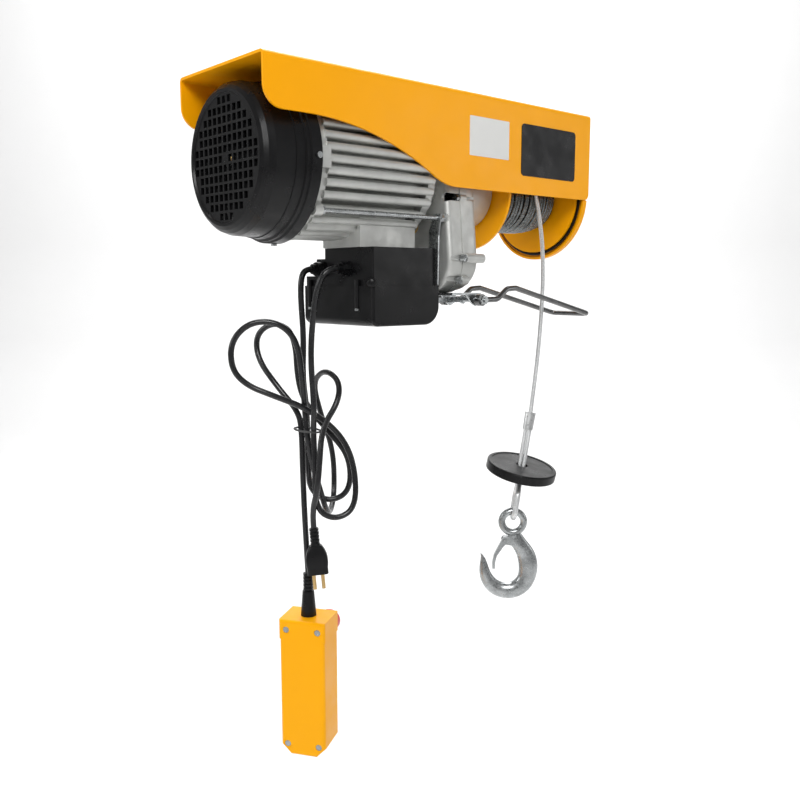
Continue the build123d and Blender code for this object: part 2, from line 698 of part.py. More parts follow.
def rope_plane(down):
    """Plane square to the leaning rope end, at a distance below the top of the ferrule."""
    return Plane(origin=Vector(*FERRULE_TOP) - rope_up * down, x_dir=rope_side, z_dir=rope_up)


def tube_route(points):
    """Radii of the tangent arcs that join a route's straight runs."""
    radii = []
    for before, corner, after in zip(points, points[1:], points[2:]):
        first, second = Vector(*corner) - Vector(*before), Vector(*after) - Vector(*corner)
        turn = radians(first.get_angle(second))
        radius = 0.45 * min(first.length, second.length) / tan(turn / 2)
        radii.append(radius)
    return radii


def tube(points, diameter, name):
    """Round tube along a route; prints its bends and how its volume compares with its length."""
    radii = tube_route(points)
    with BuildPart(mode=Mode.PRIVATE) as piece:
        with BuildLine() as path:
            FilletPolyline(*points, radius=radii)
        wire = path.wires()[0]
        with BuildSketch(Plane(origin=wire @ 0, z_dir=wire % 0)):
            Circle(diameter / 2)
        sweep(path=wire)
    length = wire.length
    ratio = piece.part.volume / (pi * diameter ** 2 / 4 * length)
    print(name, "length", round(length), "volume ratio", round(ratio, 4))
    print("  radii", [round(r) for r in radii])
    return piece.part


ROPE_ROUTE = [
    ROPE_EXIT,
    (198.0, ROPE_Y, -148.0),
    (203.5, ROPE_Y, -212.0),
    (199.5, ROPE_Y, -282.0),
    (191.5, ROPE_Y, -345.0),
    (182.6, ROPE_Y, -394.5),
]
with BuildPart() as rope_fall:
    add(tube(ROPE_ROUTE, ROPE_D, "rope_fall"))
save(rope_fall, "rope_fall")

with BuildPart() as rope_ferrule:
    with BuildSketch(rope_plane(0.2)):
        Ellipse(5.2, 7.4)
    with BuildSketch(rope_plane(FERRULE_LENGTH)):
        Ellipse(4.8, 6.8)
    loft()
save(rope_ferrule, "rope_ferrule")

STOPPER_DOWN = 78.0
NECK_DOWN = 87.5
STOPPER_R = 47.5
STOPPER_T = 13.0
STRAND_APART = 5.6
with BuildPart() as rope_tail:
    with BuildSketch(rope_plane(FERRULE_LENGTH)):
        with GridLocations(1, STRAND_APART, 1, 2):
            Circle(ROPE_D / 2)
    extrude(amount=-(NECK_DOWN - FERRULE_LENGTH))
save(rope_tail, "rope_tail")

LOOP_TUBE = 7.6
LOOP_HALF = 12.0
loop_plane = Plane(origin=FERRULE_TOP, x_dir=rope_side, z_dir=rope_side.cross(rope_up))
with BuildPart() as rope_eye:
    with BuildLine(loop_plane) as loop:
        neck_y = -NECK_DOWN
        low = LOOP_TUBE / 2 - EYE_DOWN
        FilletPolyline(
            (-4.2, neck_y), (-4.2, neck_y - 10), (-LOOP_HALF, neck_y - 26), (-LOOP_HALF, low),
            (LOOP_HALF, low), (LOOP_HALF, neck_y - 26), (4.2, neck_y - 10), (4.2, neck_y),
            radius=[14, 14, 10.5, 10.5, 14, 14],
        )
    loop_wire = loop.wires()[0]
    with BuildSketch(Plane(origin=loop_wire @ 0, z_dir=loop_wire % 0)):
        Circle(LOOP_TUBE / 2)
    sweep(path=loop_wire)
save(rope_eye, "rope_eye")

# the disc is loose on its rope, and hangs tilted against it
stopper_up = Vector(0.041, -0.229, 0.973).normalized()
stopper_top = Plane(
    origin=rope_plane(STOPPER_DOWN).origin + stopper_up * STOPPER_T / 2,
    x_dir=rope_side - stopper_up * rope_side.dot(stopper_up), z_dir=stopper_up,
)
with BuildPart() as rope_stopper:
    with BuildSketch(stopper_top):
        Circle(STOPPER_R)
    extrude(amount=-STOPPER_T)
    fillet(rope_stopper.edges().filter_by(GeomType.CIRCLE), 2.0)
    with BuildSketch(stopper_top):
        Circle(STOPPER_R - 5)
    extrude(amount=-0.8, mode=Mode.SUBTRACT)
    with BuildSketch(stopper_top.offset(1)):
        Circle(8.2)
    extrude(amount=-STOPPER_T - 2, mode=Mode.SUBTRACT)
save(rope_stopper, "rope_stopper")

# forged hook, drawn in a plane that faces the front quarter: u to the right, v up, from its eye
EYE_RING_R = 14.8
EYE_BAR_R = 4.8
loop_low = Vector(*FERRULE_TOP) - rope_up * (EYE_DOWN - LOOP_TUBE / 2)
SWING_PIVOT = loop_low
hook_eye = loop_low - Vector(0, 0, EYE_RING_R - EYE_BAR_R - LOOP_TUBE / 2 - 0.35)
hook_plane = Plane(
    origin=hook_eye, x_dir=(cos(HOOK_FACING), -sin(HOOK_FACING), 0),
    z_dir=(-sin(HOOK_FACING), -cos(HOOK_FACING), 0),
)
print("swing pivot", SWING_PIVOT, "hook eye", hook_eye)
# stations along the hook: u, v, direction of travel in degrees, width in the plane, thickness
HOOK_STATIONS = [
    (3, -14, -80, 15, 9),
    (8, -29, -58, 21, 13),
    (18.5, -46, -66, 24.5, 15),
    (22, -67, -92, 25.5, 16),
    (14, -88, -140, 24, 17),
    (-5, -97, -182, 22.5, 17),
    (-26, -90, -222, 20, 15.5),
    (-36.5, -73, -255, 15.5, 13.5),
    (-39, -57, -275, 9.5, 9.5),
    (-42.5, -45, -295, 2.5, 4),
]
with BuildPart() as hook:
    for u, v, way, width, thickness in HOOK_STATIONS:
        heading = hook_plane.x_dir * cos(radians(way)) + hook_plane.y_dir * sin(radians(way))
        station = Plane(origin=hook_plane.from_local_coords((u, v, 0)),
                        x_dir=hook_plane.z_dir, z_dir=heading)
        with BuildSketch(station):
            Ellipse(thickness / 2, width / 2)
    loft()
    with BuildSketch(Plane(origin=hook_plane.from_local_coords((EYE_RING_R, 0, 0)),
                           x_dir=hook_plane.x_dir, z_dir=hook_plane.y_dir)):
        Circle(EYE_BAR_R)
    revolve(axis=Axis(hook_eye, hook_plane.z_dir))
    # ears for the latch pin
    with BuildSketch(hook_plane.offset(5.5)):
        with Locations((-9.5, -25.5)):
            Circle(5.5)
        with BuildLine():
            Polyline((-10, -20), (4, -18), (7, -34), (-8, -31), close=True)
        make_face()
    extrude(amount=-11)
    with BuildSketch(hook_plane.offset(3.0)):
        with Locations((-15.5, -30.5)):
            Rectangle(22, 19)
    extrude(amount=-6, mode=Mode.SUBTRACT)
    with BuildSketch(hook_plane.offset(20)):
        with Locations((-10.5, -26)):
            Circle(1.6)
    extrude(amount=-40, mode=Mode.SUBTRACT)
save(hook, "hook")

LATCH_PIVOT = hook_plane.from_local_coords((-10.5, -26, 0))
print("latch pivot", LATCH_PIVOT)
with BuildPart() as latch_pin:
    with BuildSketch(hook_plane.offset(7)):
        with Locations((-10.5, -26)):
            Circle(1.55)
    extrude(amount=-14)
    for side in (6.2, -7.7):
        with BuildSketch(hook_plane.offset(side + 1.5)):
            with Locations((-10.5, -26)):
                Circle(2.8)
        extrude(amount=-1.5)
save(latch_pin, "latch_pin")

with BuildPart() as hook_latch:
    with BuildSketch(hook_plane.offset(2.4)):
        with Locations((-10.5, -26)):
            Circle(4.0)
        with BuildLine():
            Polyline((-14, -24), (-7, -29), (-13, -36), (-21, -48), (-23, -57), (-23.5, -66),
                     (-27, -66), (-27, -56), (-25, -46), close=True)
        make_face()
        with Locations((-10.5, -26)):
            Circle(1.6, mode=Mode.SUBTRACT)
    extrude(amount=-4.8)
save(hook_latch, "hook_latch")

# ---------------------------------------------------------------- limit bail and its switch
PIVOT_X = 48.0
PIVOT_Z = -240.5
BAIL_FRONT_Y = -82.0
BAIL_REAR_Y = -20.0
BAIL_D = 6.8
BAIL_END_X = 263.6
BRACKET_FRONT_Y = -74.0
BRACKET_REAR_Y = -28.0
ARM_Y = -50.0
SWITCH_X = -24.0
SWITCH_Y = ARM_Y - 1.5


def facing_front(y):
    """Plane square to Y at y whose sketch axes are X and Z; it extrudes toward the front."""
    return Plane(origin=(0, y, 0), x_dir=(1, 0, 0), z_dir=(0, -1, 0))


with BuildPart() as limit_bail:
    leg = [(PIVOT_X, PIVOT_Z), (78, -240.0), (95, -227.5), (112, -226.5), (BAIL_END_X, -262.0)]
    front_leg = [(x, BAIL_FRONT_Y, z) for x, z in leg]
    rear_leg = [(x, BAIL_REAR_Y, z) for x, z in reversed(leg)]
    with BuildLine() as bail_path:
        FilletPolyline(*front_leg, *rear_leg, radius=[12, 12, 12, 8, 8, 12, 12, 12])
    bail_wire = bail_path.wires()[0]
    with BuildSketch(Plane(origin=bail_wire @ 0, z_dir=bail_wire % 0)):
        Circle(BAIL_D / 2)
    sweep(path=bail_wire)
    for y in (BAIL_FRONT_Y, BAIL_REAR_Y):
        with BuildSketch(facing_front(y + 3.5)):
            with Locations((PIVOT_X, PIVOT_Z)):
                Circle(7.2)
        extrude(amount=7)
    with BuildSketch(facing_front(0)):
        with Locations((PIVOT_X, PIVOT_Z)):
            Circle(3.0)
    extrude(amount=100, mode=Mode.SUBTRACT)
save(limit_bail, "limit_bail")

with BuildPart() as bail_bolt:
    with BuildSketch(facing_front(BAIL_REAR_Y + 10)):
        with Locations((PIVOT_X, PIVOT_Z)):
            Circle(3.0)
    extrude(amount=BAIL_REAR_Y - BAIL_FRONT_Y + 20)
    for start in (BAIL_REAR_Y + 3.5 + 4.5, BAIL_FRONT_Y - 3.5):
        with BuildSketch(facing_front(start)):
            with Locations((PIVOT_X, PIVOT_Z)):
                RegularPolygon(5.8, 6)
        extrude(amount=4.5)
save(bail_bolt, "bail_bolt")

with BuildPart() as limit_arm:
    with BuildSketch(facing_front(ARM_Y)):
        with Locations((PIVOT_X, PIVOT_Z)):
            Circle(5.0)
        with Locations(((PIVOT_X + SWITCH_X - 6) / 2, PIVOT_Z)):
            Rectangle(PIVOT_X - SWITCH_X + 6, 6)
        with Locations((PIVOT_X, PIVOT_Z)):
            Circle(3.0, mode=Mode.SUBTRACT)
    extrude(amount=3)
save(limit_arm, "limit_arm")

with BuildPart() as bail_bracket:
    with Locations((33, (BRACKET_FRONT_Y + BRACKET_REAR_Y) / 2, -233.32)):
        Box(50, BRACKET_REAR_Y - BRACKET_FRONT_Y, 2.6)
    for y in (BRACKET_REAR_Y, BRACKET_FRONT_Y + 2.5):
        with BuildSketch(facing_front(y)):
            with BuildLine():
                Polyline((32, -234), (58, -234), (56, -244), (PIVOT_X, -248), (41, -244), close=True)
            make_face()
            with Locations((PIVOT_X, PIVOT_Z)):
                Circle(3.0 + RUNNING, mode=Mode.SUBTRACT)
        extrude(amount=2.5)
save(bail_bracket, "bail_bracket")

with BuildPart() as limit_switch:
    with Locations((SWITCH_X, SWITCH_Y, -226.0)):
        Box(22, 11, 14)
    with BuildSketch(Plane.XY.offset(-234)):
        with Locations((SWITCH_X, SWITCH_Y)):
            Circle(1.6 + RUNNING)
    extrude(amount=9, mode=Mode.SUBTRACT)
save(limit_switch, "limit_switch")

with BuildPart() as limit_plunger:
    with BuildSketch(Plane.XY.offset(PIVOT_Z + 3.25)):
        with Locations((SWITCH_X, SWITCH_Y)):
            Circle(1.6)
    extrude(amount=10.5)
save(limit_plunger, "limit_plunger")

with BuildPart() as switch_strap:
    with BuildSketch(across(-8)):
        with BuildLine():
            Polyline((-70, -140), (-57, -140), (-50, -160), (-50, -222), (-65, -222), (-66, -165),
                     close=True)
        make_face()
        with Locations(rod_corners()[0]):
            Circle(ROD_R + 0.3, mode=Mode.SUBTRACT)
    extrude(amount=2)
save(switch_strap, "switch_strap")

# ---------------------------------------------------------------- electrical box
BOX_WALL = 3.0
BOX_RIGHT_X = -9.0
LID_LEFT_X = BOX_LEFT_X - 2.0
LID_RIGHT_X = -2.0
LID_FRONT_Y = BOX_FRONT_Y - 2.0
LID_BACK_Y = BOX_BACK_Y + 2.0
LID_SCREW_Y = (-35.0, 56.0)
LID_SCREW_R = 1.5
LID_COLUMN_Z = -249.0
GLAND_Y = (32.0, -15.0)       # control cable, power cord
GLAND_Z = -204.0
GLAND_END_X = BOX_LEFT_X - 16.0
BOX_STEPS = [(BOX_BACK_Y, -212.0), (46.0, -192.0), (29.0, BOX_TOP_Z)]     # back face, top of the step


def box_stage(back, grow):
    """Plan of the box up to one of its stepped back faces, grown or drawn in by grow."""
    width = BOX_RIGHT_X - BOX_LEFT_X + 2 * grow
    depth = back - BOX_FRONT_Y + 2 * grow
    with Locations(((BOX_LEFT_X + BOX_RIGHT_X) / 2, (BOX_FRONT_Y + back) / 2)):
        Rectangle(width, depth)


with BuildPart() as box_base:
    for back, top in BOX_STEPS:
        with BuildSketch(Plane.XY.offset(BOX_SEAM_Z)):
            box_stage(back, 0)
        extrude(amount=top - BOX_SEAM_Z)
    fillet(box_base.edges().filter_by(Axis.Z), 1.5)
    for back, top in BOX_STEPS:
        with BuildSketch(Plane.XY.offset(BOX_SEAM_Z)):
            box_stage(back, -BOX_WALL)
        extrude(amount=top - BOX_WALL - BOX_SEAM_Z, mode=Mode.SUBTRACT)
    with BuildSketch(Plane.XY.offset(BOX_TOP_Z - 10)):
        with Locations((-70, -12)):
            Circle(9)
    extrude(amount=20, mode=Mode.SUBTRACT)
    with BuildSketch(across(BOX_LEFT_X - 1)):
        with Locations(*[(y, GLAND_Z) for y in GLAND_Y]):
            Circle(6)
    extrude(amount=8, mode=Mode.SUBTRACT)
    for y in LID_SCREW_Y:
        with BuildSketch(Plane.XY.offset(BOX_SEAM_Z)):
            with Locations((LID_LEFT_X, y)):
                Circle(3.2)
        extrude(amount=7)
        with BuildSketch(Plane.XY.offset(BOX_SEAM_Z - 1)):
            with Locations((LID_LEFT_X, y)):
                Circle(LID_SCREW_R + 0.1)
        extrude(amount=6.5, mode=Mode.SUBTRACT)
save(box_base, "box_base")

with BuildPart() as box_lid:
    with BuildSketch(facing_front(LID_BACK_Y)) as lid_profile:
        with BuildLine():
            Polyline((LID_LEFT_X, BOX_SEAM_Z), (LID_LEFT_X, BOX_BOTTOM_Z), (LID_RIGHT_X, BOX_BOTTOM_Z),
                     (LID_RIGHT_X, BOX_SEAM_Z), close=True)
        make_face()
        low = lid_profile.vertices().group_by(Axis.Y)[0].sort_by(Axis.X)
        fillet(low[0], 9.0)
        low = lid_profile.vertices().group_by(Axis.Y)[0].sort_by(Axis.X)
        fillet(low[-1], 22.0)
    extrude(amount=LID_BACK_Y - LID_FRONT_Y)
    for face in (box_lid.faces().sort_by(Axis.Y)[0], box_lid.faces().sort_by(Axis.Y)[-1]):
        rim = face.edges()
        fillet(rim.filter_by(lambda edge: edge.center().Z < BOX_SEAM_Z - 0.5), 3.0)
    with BuildSketch(facing_front(LID_BACK_Y - BOX_WALL)) as lid_hollow:
        with BuildLine():
            Polyline((LID_LEFT_X + BOX_WALL, BOX_SEAM_Z + 1), (LID_LEFT_X + BOX_WALL, BOX_BOTTOM_Z + BOX_WALL),
                     (LID_RIGHT_X - BOX_WALL, BOX_BOTTOM_Z + BOX_WALL),
                     (LID_RIGHT_X - BOX_WALL, BOX_SEAM_Z + 1), close=True)
        make_face()
        low = lid_hollow.vertices().group_by(Axis.Y)[0].sort_by(Axis.X)
        fillet(low[0], 6.0)
        low = lid_hollow.vertices().group_by(Axis.Y)[0].sort_by(Axis.X)
        fillet(low[-1], 19.0)
    extrude(amount=LID_BACK_Y - LID_FRONT_Y - 2 * BOX_WALL, mode=Mode.SUBTRACT)
    # half-round columns down the left face for the lid's screws
    for y in LID_SCREW_Y:
        with BuildSketch(Plane.XY.offset(LID_COLUMN_Z)):
            with Locations((LID_LEFT_X, y)):
                Circle(2.9)
        extrude(amount=BOX_SEAM_Z - LID_COLUMN_Z)
        with BuildSketch(Plane.XY.offset(LID_COLUMN_Z - 1)):
            with Locations((LID_LEFT_X, y)):
                Circle(LID_SCREW_R + 0.1)
        extrude(amount=30, mode=Mode.SUBTRACT)
        with BuildSketch(Plane.XY.offset(LID_COLUMN_Z)):
            with Locations((LID_LEFT_X, y)):
                Circle(3.4)
        extrude(amount=-4.0, mode=Mode.SUBTRACT)
    with Locations((LID_RIGHT_X, SWITCH_Y, -240.5)):
        Box(14, 7, 26, mode=Mode.SUBTRACT)
save(box_lid, "box_lid")

with BuildPart() as box_screws:
    for y in LID_SCREW_Y:
        with BuildSketch(Plane.XY.offset(LID_COLUMN_Z)):
            with Locations((LID_LEFT_X, y)):
                Circle(LID_SCREW_R)
        extrude(amount=BOX_SEAM_Z - LID_COLUMN_Z + 5)
        with BuildSketch(Plane.XY.offset(LID_COLUMN_Z)):
            with Locations((LID_LEFT_X, y)):
                Circle(3.0)
        extrude(amount=-2.6)
save(box_screws, "box_screws")

with BuildPart() as capacitor:
    with BuildSketch(across(-80, 22, -245)):
        Circle(18)
    extrude(amount=46)
save(capacitor, "capacitor")

with BuildPart() as cable_glands:
    for y in GLAND_Y:
        for start, length, radius, sides in ((4.0, 4.0, 5.9, 0), (0.0, 4.0, 10.0, 6),
                                             (-4.0, 7.0, 8.4, 12), (-11.0, 5.0, 6.0, 0)):
            with BuildSketch(across(BOX_LEFT_X + start, y, GLAND_Z)):
                if sides:
                    RegularPolygon(radius, sides)
                else:
                    Circle(radius)
            extrude(amount=-length)
save(cable_glands, "cable_glands")

# ---------------------------------------------------------------- cords, gathered in one tie
# The hanging routes are given as (right, back, z) seen square to the pendant's quarter.
CORD_RIGHT = Vector(0.817, -0.576, 0)
CORD_BACK = Vector(0.576, 0.817, 0)
CORD_HOME = Vector(-136, 20, 0)


def hanging(points):
    """Points in the room for a route given as (right, back, z)."""
    return [tuple(CORD_HOME + CORD_RIGHT * a + CORD_BACK * b + Vector(0, 0, z)) for a, b, z in points]


def from_gland(y):
    """First two points of a cord that leaves one of the box's glands."""
    return [(GLAND_END_X - 0.1, y, GLAND_Z), (GLAND_END_X - 9.0, y, GLAND_Z)]


CONTROL_ROUTE = from_gland(GLAND_Y[0]) + hanging([
    (-6, 11, -213), (-7, 11, -236), (-4, 12, -285), (-6, 11, -330), (-2, 11, -365), (-1, 9.5, -400),
    # loop below the tie, then the inner loop above it
    (-1, 12, -440), (1, 16, -470), (25, 18, -485), (50, 16, -471), (49, 16, -428), (25, 16, -398),
    (2, 22, -372), (-12, 20, -342), (-14, 16, -280), (-37.5, 28, -265), (-61, 40, -280), (-60, 36, -310),
    (-36, 14, -342), (-11, 8, -372), (-8, 4, -396),
    # down to the pendant
    (-7.5, 3, -445), (-6, 1, -500), (-3, 0, -566),
])
POWER_ROUTE = from_gland(GLAND_Y[1]) + hanging([
    (16, -26, -214), (9, -20, -240), (3, -10, -300), (7, -18, -364), (5.5, -7.5, -392), (7, -12, -430),
    # loop below the tie, then the outer loop above it
    (6.5, -11, -486), (31, -11, -500), (56, -5, -486), (54, 2, -432), (36, 6, -396), (0, -8, -366),
    (-40, -14, -349), (-70, -12, -337), (-87, -12, -318), (-87, -12, -286), (-65, -12, -264),
    (-33, -12, -264), (-11, -10, -286), (-6, -6, -335), (-4, 1, -365), (-2.5, -3.5, -392),
    # narrow loop that turns up behind, the small loop beside it, then down in front to the plug
    (3, -1, -430), (14, 4, -470), (20, 12, -494), (26, 38, -503), (32, 68, -485), (31, 69, -430),
    (20, 67, -378), (11, 66, -332), (24, 38, -313), (38, 12, -326), (36, -12, -352), (15.5, -14, -388),
    (12, -24, -430), (9, -28, -460), (3, -13.5, -487), (4.5, -13, -508),
])
for name, route in (("control_cable", CONTROL_ROUTE), ("power_cord", POWER_ROUTE)):
    with BuildPart() as cord:
        add(tube(route, CORD_D, name))
    save(cord, name)

TIE_WIRE_R = 1.2
TIE_R = 15.7
tie_centre = hanging([(-1, -0.5, -392)])[0]
with BuildPart() as cord_tie:
    with BuildSketch(Plane.XZ):
        with Locations((TIE_R, 0)):
            Circle(TIE_WIRE_R)
    revolve(axis=Axis.Z)
save(cord_tie, "cord_tie", Plane(origin=tie_centre, z_dir=(0.1, -0.07, 1)))

# ---------------------------------------------------------------- plug on the end of the power cord
PLUG_TOP, PLUG_TIP = [Vector(*p) for p in hanging([(4.5, -13, -508), (9, -13, -564)])]
plug_way = (PLUG_TIP - PLUG_TOP).normalized()
plug_place = Plane(origin=PLUG_TOP, x_dir=CORD_RIGHT - plug_way * CORD_RIGHT.dot(plug_way), z_dir=plug_way)
with BuildPart() as plug:
    for rib in range(5):
        with BuildSketch(Plane.XY.offset(0.3 + 4.4 * rib)):
            Circle(5.6)
        extrude(amount=2.6)
    with BuildSketch(Plane.XY.offset(0.3)):
        Circle(4.4)
    extrude(amount=22)
    for depth, width, thick in ((21.0, 14.0, 11.0), (29.0, 22.5, 14.0), (48.0, 25.0, 14.5)):
        with BuildSketch(Plane.XY.offset(depth)):
            RectangleRounded(width, thick, 4.0)
    loft()
    with BuildSketch(Plane.XY.offset(48.0)):
        RectangleRounded(25.0, 14.5, 4.0)
    extrude(amount=8.0)
save(plug, "plug", plug_place)

with BuildPart() as plug_pins:
    with BuildSketch(Plane.XY.offset(56.05)):
        with GridLocations(10.5, 1, 2, 1):
            Circle(2.2)
    extrude(amount=19)
save(plug_pins, "plug_pins", plug_place)

# ---------------------------------------------------------------- pendant control
PENDANT_PLACE = Plane(origin=(-138.5, 21.7, -620), x_dir=(0.545, -0.839, 0), z_dir=(0, 0, 1))
PENDANT_W = 57.0
PENDANT_H = 171.0
PENDANT_BACK_Y = -24.0
PENDANT_FRONT_Y = 24.0
PENDANT_SEAM_Y = -2.0
PENDANT_WALL = 3.0
BAND_H = 25.0
BUTTON_R = 10.0
UP_Z = -70.0
DOWN_Z = -110.0
STOP_X = 11.0
STOP_Z = -22.0


PENDANT_SCREW_PLACES = [(x, z) for x in (-20.0, 20.0) for z in (-12.0, 14.0 - PENDANT_H)]


def pendant_outline(inset):
    """Front view of the pendant's case, its two bottom corners cut off."""
    side = PENDANT_W / 2 - inset
    top, bottom = -inset, inset - PENDANT_H
    cut = 12.0 - 0.6 * inset
    Polygon((-side, top), (side, top), (side, bottom + cut), (side - cut, bottom),
            (cut - side, bottom), (-side, bottom + cut), align=None)


def disc(x, z, radius, low, high, mode=Mode.ADD):
    """Round slab between two depths of the pendant."""
    with BuildSketch(facing_front(high), mode=Mode.PRIVATE) as round_face:
        with Locations((x, z)):
            Circle(radius)
    extrude(round_face.sketch, amount=high - low, mode=mode)


def pendant_half(low, high, outer):
    """Hollow half of the pendant's case between two depths; outer is the depth of its closed face."""
    inner_low, inner_high = (low, high - PENDANT_WALL) if outer == high else (low + PENDANT_WALL, high)
    with BuildPart(mode=Mode.PRIVATE) as half:
        with BuildSketch(facing_front(high)):
            pendant_outline(0)
        extrude(amount=high - low)
        fillet(half.faces().sort_by(Axis.Y)[-1 if outer == high else 0].edges(), 4.0)
        with BuildPart(mode=Mode.PRIVATE) as band:
            with BuildSketch(facing_front(high)):
                with Locations((0, -BAND_H / 2)):
                    Rectangle(PENDANT_W + 2, BAND_H)
            extrude(amount=high - low)
            fillet(band.faces().sort_by(Axis.Y)[-1 if outer == high else 0].edges(), 3.0)
        add(band.part)
        with BuildSketch(facing_front(inner_high)):
            pendant_outline(PENDANT_WALL)
        extrude(amount=inner_high - inner_low, mode=Mode.SUBTRACT)
        for x, z in PENDANT_SCREW_PLACES:
            disc(x, z, 5.0, inner_low, inner_high)
            disc(x, z, 1.7, PENDANT_BACK_Y - 1, PENDANT_SEAM_Y + 10, Mode.SUBTRACT)
        with BuildSketch(Plane.XY.offset(-8)):
            Circle(6.1)
        extrude(amount=10, mode=Mode.SUBTRACT)
    return half.part


with BuildPart() as pendant_back:
    add(pendant_half(PENDANT_BACK_Y, PENDANT_SEAM_Y, PENDANT_BACK_Y))
    for x, z in PENDANT_SCREW_PLACES:
        disc(x, z, 4.0, PENDANT_BACK_Y - 1, PENDANT_BACK_Y + 2.6, Mode.SUBTRACT)
save(pendant_back, "pendant_back", PENDANT_PLACE)

with BuildPart() as pendant_front:
    add(pendant_half(PENDANT_SEAM_Y, PENDANT_FRONT_Y, PENDANT_FRONT_Y))
    disc(STOP_X, STOP_Z, 10.0, PENDANT_FRONT_Y - 2, PENDANT_FRONT_Y + 4)
    disc(STOP_X, STOP_Z, 6.4, PENDANT_FRONT_Y - 5, PENDANT_FRONT_Y + 6, Mode.SUBTRACT)
    for z in (UP_Z, DOWN_Z):
        disc(0, z, BUTTON_R + 2.0, PENDANT_FRONT_Y - 2, PENDANT_FRONT_Y + 1.5)
        disc(0, z, BUTTON_R + 0.3, PENDANT_FRONT_Y - 5, PENDANT_FRONT_Y + 6, Mode.SUBTRACT)
save(pendant_front, "pendant_front", PENDANT_PLACE)

with BuildPart() as pendant_screws:
    for x, z in PENDANT_SCREW_PLACES:
        disc(x, z, 3.6, PENDANT_BACK_Y + 0.4, PENDANT_BACK_Y + 2.6)
        disc(x, z, 1.6, PENDANT_BACK_Y + 2.0, PENDANT_SEAM_Y + 9)
save(pendant_screws, "pendant_screws", PENDANT_PLACE)

with BuildPart() as pendant_gland:
    with BuildSketch(Plane.XY.offset(-4)):
        Circle(6)
    extrude(amount=5)
    with BuildSketch(Plane.XY.offset(0.05)):
        Circle(9.5)
    with BuildSketch(Plane.XY.offset(31)):
        Circle(7.0)
    loft()
    with BuildSketch(Plane.XY.offset(30)):
        Circle(4.6)
    extrude(amount=23.0)
    for rib in range(5):
        with BuildSketch(Plane.XY.offset(32.5 + 4.4 * rib)):
            Circle(6.0)
        extrude(amount=2.6)
save(pendant_gland, "pendant_gland", PENDANT_PLACE)

for name, z in (("up_button", UP_Z), ("down_button", DOWN_Z)):
    with BuildPart() as button:
        disc(0, z, BUTTON_R, PENDANT_FRONT_Y - 5.4, PENDANT_FRONT_Y + 6.5)
        fillet(button.faces().sort_by(Axis.Y)[-1].edges(), 2.0)
        disc(0, z, BUTTON_R + 1.6, PENDANT_FRONT_Y - 5.4, PENDANT_FRONT_Y - 3.3)
        disc(0, z, 3.0, PENDANT_FRONT_Y - 16, PENDANT_FRONT_Y - 5)
    save(button, name, PENDANT_PLACE)

with BuildPart() as estop_button:
    disc(STOP_X, STOP_Z, 6.0, PENDANT_FRONT_Y - 10, PENDANT_FRONT_Y + 14)
    disc(STOP_X, STOP_Z, 8.0, PENDANT_FRONT_Y - 10, PENDANT_FRONT_Y - 7)
    disc(STOP_X, STOP_Z, 14.0, PENDANT_FRONT_Y + 12, PENDANT_FRONT_Y + 24)
    fillet(estop_button.faces().sort_by(Axis.Y)[-1].edges(), 5.0)
save(estop_button, "estop_button", PENDANT_PLACE)
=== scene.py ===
import bpy
import json
from math import cos, pi, sin
from mathutils import Matrix, Vector


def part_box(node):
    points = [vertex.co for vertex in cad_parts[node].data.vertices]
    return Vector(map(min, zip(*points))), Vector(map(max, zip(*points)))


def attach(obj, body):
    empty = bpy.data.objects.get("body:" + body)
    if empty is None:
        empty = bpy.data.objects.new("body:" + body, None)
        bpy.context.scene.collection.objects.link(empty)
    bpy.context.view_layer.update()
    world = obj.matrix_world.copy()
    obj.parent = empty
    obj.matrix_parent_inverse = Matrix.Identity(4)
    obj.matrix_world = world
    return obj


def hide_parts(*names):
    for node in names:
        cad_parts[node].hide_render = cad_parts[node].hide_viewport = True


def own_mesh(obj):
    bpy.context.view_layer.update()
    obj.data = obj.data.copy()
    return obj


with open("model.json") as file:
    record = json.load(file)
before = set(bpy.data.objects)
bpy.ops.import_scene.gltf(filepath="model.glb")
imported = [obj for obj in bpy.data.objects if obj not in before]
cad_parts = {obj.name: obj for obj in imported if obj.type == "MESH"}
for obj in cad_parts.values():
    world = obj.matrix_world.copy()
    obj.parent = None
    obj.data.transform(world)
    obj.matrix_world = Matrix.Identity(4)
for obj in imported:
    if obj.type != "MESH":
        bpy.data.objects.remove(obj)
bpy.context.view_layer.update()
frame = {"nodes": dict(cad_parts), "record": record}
nodes = frame["nodes"]


# ---------------------------------------------------------------- materials
def tree(name):
    """New node material: the node tree, its shader and its object coordinates."""
    material = bpy.data.materials.new(name)
    material.use_nodes = True
    nt = material.node_tree
    shader = nt.nodes["Principled BSDF"]
    coords = nt.nodes.new("ShaderNodeTexCoord")
    return material, nt, shader, coords.outputs["Object"]


def noise(nt, where, scale, detail=4.0, rough=0.55, stretch=None):
    """Noise in metres: scale is features per metre; stretch squeezes it along an axis."""
    node = nt.nodes.new("ShaderNodeTexNoise")
    node.inputs["Scale"].default_value = scale
    node.inputs["Detail"].default_value = detail
    node.inputs["Roughness"].default_value = rough
    if stretch:
        mapping = nt.nodes.new("ShaderNodeMapping")
        mapping.inputs["Scale"].default_value = stretch
        nt.links.new(where, mapping.inputs["Vector"])
        where = mapping.outputs["Vector"]
    nt.links.new(where, node.inputs["Vector"])
    return node.outputs["Fac"]


def spread(nt, value, low, high, first=0.35, last=0.65):
    """Remap a noise value to a range."""
    node = nt.nodes.new("ShaderNodeMapRange")
    node.inputs["From Min"].default_value = first
    node.inputs["From Max"].default_value = last
    node.inputs["To Min"].default_value = low
    node.inputs["To Max"].default_value = high
    nt.links.new(value, node.inputs["Value"])
    return node.outputs["Result"]


